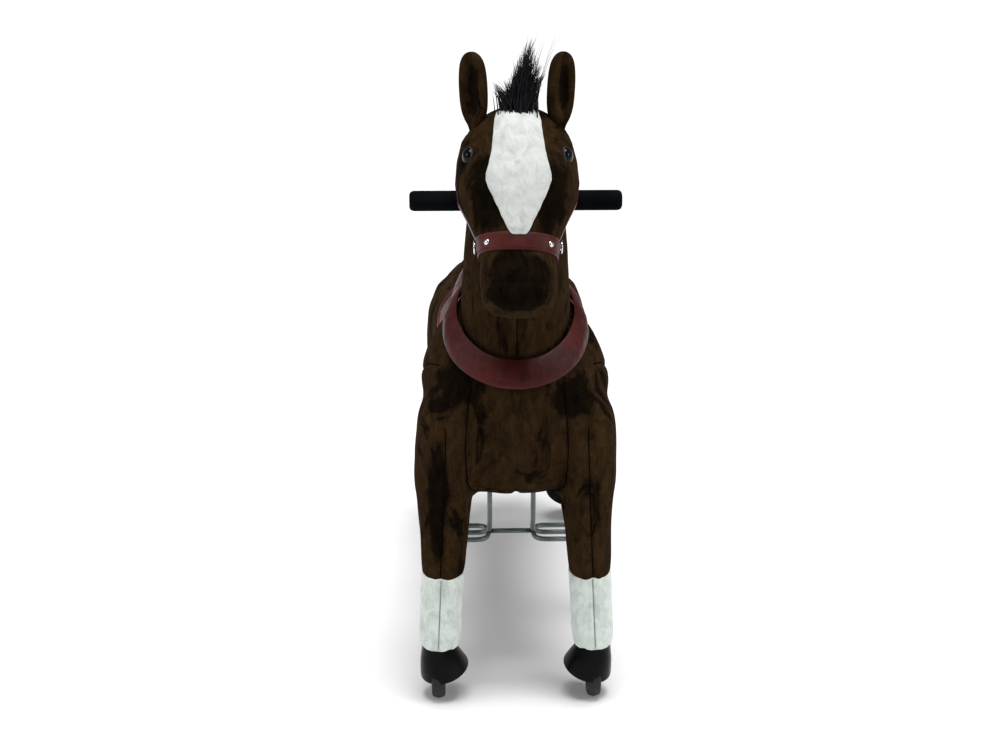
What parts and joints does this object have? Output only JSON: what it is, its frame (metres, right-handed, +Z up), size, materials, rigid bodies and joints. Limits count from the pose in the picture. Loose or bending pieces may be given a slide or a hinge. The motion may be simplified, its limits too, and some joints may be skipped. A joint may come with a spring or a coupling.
{
  "type": "plush walking ride-on horse",
  "caption": "Plush-covered ride-on walking horse: steel frame, swinging legs on wheels, steered front hooves, foam handlebar, leather saddle, hanging wire footrest.",
  "frame": {"origin": "on the floor under the middle of the horse's overall box", "axes": "+Z up, the horse faces -Y, and its own left side is +X"},
  "size_m": [0.298, 0.8742, 0.949],
  "materials": {
    "plush": "matte",
    "white_plush": "matte",
    "leather": "satin",
    "hair": "satin",
    "foam": "matte",
    "black_plastic": "gloss",
    "tyre": "matte",
    "eye": "gloss",
    "grey_steel": "satin",
    "steel": "satin"
  },
  "bodies": {
    "frame": {"spine_frame": "steel", "front_pivot_shaft": "steel", "rear_pivot_shaft": "steel", "footrest_guide": "steel", "torso_plush": "plush", "neck_collar": "leather", "saddle_skirt": "leather", "saddle_pad": "leather", "tail": "hair"},
    "steering": {"steering_column": "steel", "handlebar": "grey_steel", "grip_left": "foam", "grip_right": "foam", "neck_head_plush": "plush", "ear_left": "plush", "ear_right": "plush", "eye_left": "eye", "eye_right": "eye", "face_blaze": "white_plush", "noseband": "leather", "cheek_strap_left": "leather", "cheek_strap_right": "leather", "mane": "hair", "forelock": "hair"},
    "tie_rod_left_body": {"tie_rod_left": "steel"},
    "tie_rod_right_body": {"tie_rod_right": "steel"},
    "front_legs": {"front_leg_yoke": "steel", "front_leg_tube_left": "steel", "front_leg_tube_right": "steel", "front_leg_plush_left": "plush", "front_leg_plush_right": "plush", "front_sock_left": "white_plush", "front_sock_right": "white_plush"},
    "rear_legs": {"rear_leg_yoke": "steel", "rear_leg_tube_left": "steel", "rear_leg_tube_right": "steel", "rear_leg_plush_left": "plush", "rear_leg_plush_right": "plush", "rear_sock_left": "white_plush", "rear_sock_right": "white_plush", "rear_fork_left": "steel", "rear_fork_right": "steel", "rear_hoof_left": "black_plastic", "rear_hoof_right": "black_plastic"},
    "front_foot_left": {"front_fork_left": "steel", "front_hoof_left": "black_plastic"},
    "front_foot_right": {"front_fork_right": "steel", "front_hoof_right": "black_plastic"},
    "front_wheel_left": {"front_tyre_left": "tyre", "front_wheel_hub_left": "black_plastic"},
    "front_wheel_right": {"front_tyre_right": "tyre", "front_wheel_hub_right": "black_plastic"},
    "rear_wheel_left": {"rear_tyre_left": "tyre", "rear_wheel_hub_left": "black_plastic"},
    "rear_wheel_right": {"rear_tyre_right": "tyre", "rear_wheel_hub_right": "black_plastic"},
    "footrest_body": {"footrest": "grey_steel"},
    "front_link": {"front_drive_link": "steel"},
    "rear_link": {"rear_drive_link": "steel"}
  },
  "joints": [
    {"name": "steering_turn", "type": "hinge", "parent": "frame", "child": "steering", "pos_m": [0, -0.252, 0.43], "axis": [0, 0, 1], "range_deg": [-20, 20]},
    {"name": "tie_rod_left_pivot", "type": "hinge", "parent": "steering", "child": "tie_rod_left_body", "pos_m": [0.009, -0.217, 0.386], "axis": [0, 0, 1], "range_deg": [-21, 21]},
    {"name": "tie_rod_right_pivot", "type": "hinge", "parent": "steering", "child": "tie_rod_right_body", "pos_m": [-0.009, -0.217, 0.386], "axis": [0, 0, 1], "range_deg": [-21, 21]},
    {"name": "front_leg_swing", "type": "hinge", "parent": "frame", "child": "front_legs", "pos_m": [0, -0.286, 0.4], "axis": [1, 0, 0], "range_deg": [0, 12]},
    {"name": "rear_leg_swing", "type": "hinge", "parent": "frame", "child": "rear_legs", "pos_m": [0, 0.268, 0.4], "axis": [1, 0, 0], "range_deg": [-12, 0]},
    {"name": "front_foot_left_steer", "type": "hinge", "parent": "front_legs", "child": "front_foot_left", "pos_m": [0.112, -0.338, 0.1], "axis": [-0.0459, 0.1706, 0.9843], "range_deg": [-21, 21]},
    {"name": "front_foot_right_steer", "type": "hinge", "parent": "front_legs", "child": "front_foot_right", "pos_m": [-0.112, -0.338, 0.1], "axis": [0.0459, 0.1706, 0.9843], "range_deg": [-21, 21]},
    {"name": "front_wheel_left_roll", "type": "hinge", "parent": "front_foot_left", "child": "front_wheel_left", "pos_m": [0.115, -0.325, 0.0325], "axis": [1, 0, 0], "continuous": true},
    {"name": "front_wheel_right_roll", "type": "hinge", "parent": "front_foot_right", "child": "front_wheel_right", "pos_m": [-0.115, -0.325, 0.0325], "axis": [1, 0, 0], "continuous": true},
    {"name": "rear_wheel_left_roll", "type": "hinge", "parent": "rear_legs", "child": "rear_wheel_left", "pos_m": [0.121, 0.343, 0.0325], "axis": [1, 0, 0], "continuous": true},
    {"name": "rear_wheel_right_roll", "type": "hinge", "parent": "rear_legs", "child": "rear_wheel_right", "pos_m": [-0.121, 0.343, 0.0325], "axis": [1, 0, 0], "continuous": true},
    {"name": "footrest_slide", "type": "slide", "parent": "frame", "child": "footrest_body", "axis": [0, 0, 1], "range_m": [-0.046, 0]},
    {"name": "front_link_pivot", "type": "hinge", "parent": "footrest_body", "child": "front_link", "pos_m": [0, -0.085, 0.33], "axis": [1, 0, 0], "range_deg": [-16.5, 0]},
    {"name": "rear_link_pivot", "type": "hinge", "parent": "footrest_body", "child": "rear_link", "pos_m": [0, -0.085, 0.33], "axis": [1, 0, 0], "range_deg": [0, 9]}
  ],
  "couplings": [
    {"joint": "tie_rod_left_pivot", "follows": "steering_turn", "ratio": -1},
    {"joint": "tie_rod_right_pivot", "follows": "steering_turn", "ratio": -1},
    {"joint": "front_foot_left_steer", "follows": "steering_turn", "ratio": 1},
    {"joint": "front_foot_right_steer", "follows": "steering_turn", "ratio": 1},
    {"joint": "rear_leg_swing", "follows": "front_leg_swing", "ratio": -1},
    {"joint": "footrest_slide", "follows": "front_leg_swing", "m_per_rad": -0.21581},
    {"joint": "front_link_pivot", "follows": "front_leg_swing", "ratio": -1.32},
    {"joint": "rear_link_pivot", "follows": "front_leg_swing", "ratio": 0.694}
  ]
}
